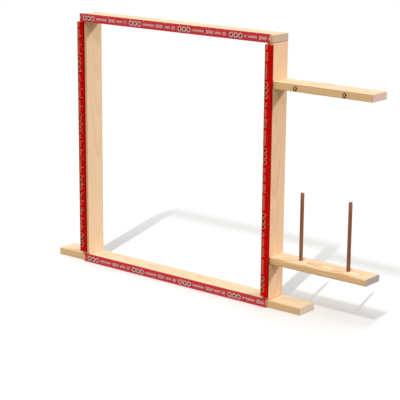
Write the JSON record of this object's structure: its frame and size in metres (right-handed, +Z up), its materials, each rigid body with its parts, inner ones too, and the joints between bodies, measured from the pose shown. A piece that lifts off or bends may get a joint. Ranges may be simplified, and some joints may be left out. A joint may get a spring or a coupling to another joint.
{
  "type": "rug tufting frame",
  "caption": "Upright softwood frame on a long foot board, edged with spiked tack strips to stretch cloth, with side arms holding yarn dowels and screw eyes.",
  "frame": {"origin": "on the floor, midway between the uprights and midway through the boards' depth", "axes": "+X along the foot board towards the yarn arms, +Y away from the spiked cloth side, +Z up"},
  "size_m": [1.049, 0.0782, 0.713],
  "materials": {
    "pine": "planed, unfinished softwood",
    "printed_strip": "red printed face on cream plywood",
    "dowel_wood": "smooth reddish brown hardwood",
    "tack_steel": "bright wire, sharpened",
    "nail_steel": "dark oiled steel",
    "screw_zinc": "zinc plated",
    "eye_brass": "bronzed brass wire"
  },
  "bodies": {
    "frame": {"bottom_board": "pine", "top_board": "pine", "left_upright": "pine", "right_upright": "pine", "upper_arm": "pine", "lower_arm": "pine", "top_tack_strip": "printed_strip", "top_strip_tacks": "tack_steel", "top_strip_nails": "nail_steel", "bottom_tack_strip": "printed_strip", "bottom_strip_tacks": "tack_steel", "bottom_strip_nails": "nail_steel", "left_tack_strip": "printed_strip", "left_strip_tacks": "tack_steel", "left_strip_nails": "nail_steel", "right_tack_strip": "printed_strip", "right_strip_tacks": "tack_steel", "right_strip_nails": "nail_steel", "top_board_screws": "screw_zinc", "bottom_board_screws": "screw_zinc", "upper_arm_screws": "screw_zinc", "lower_arm_screws": "screw_zinc"},
    "inner_yarn_dowel": {"inner_yarn_dowel": "dowel_wood"},
    "outer_yarn_dowel": {"outer_yarn_dowel": "dowel_wood"},
    "inner_screw_eye": {"inner_screw_eye": "eye_brass"},
    "outer_screw_eye": {"outer_screw_eye": "eye_brass"}
  },
  "joints": [
    {"name": "inner_dowel_lift", "type": "slide", "parent": "frame", "child": "inner_yarn_dowel", "axis": [0, 0, 1], "range_m": [0, 0.03]},
    {"name": "inner_eye_turn", "type": "hinge", "parent": "frame", "child": "inner_screw_eye", "pos_m": [0.4005, -0.02775, 0.5855], "axis": [0, -1, 0], "range_deg": [-90, 90]},
    {"name": "outer_dowel_lift", "type": "slide", "parent": "frame", "child": "outer_yarn_dowel", "axis": [0, 0, 1], "range_m": [0, 0.03]},
    {"name": "outer_eye_turn", "type": "hinge", "parent": "frame", "child": "outer_screw_eye", "pos_m": [0.5455, -0.02775, 0.5855], "axis": [0, -1, 0], "range_deg": [-90, 90]}
  ]
}
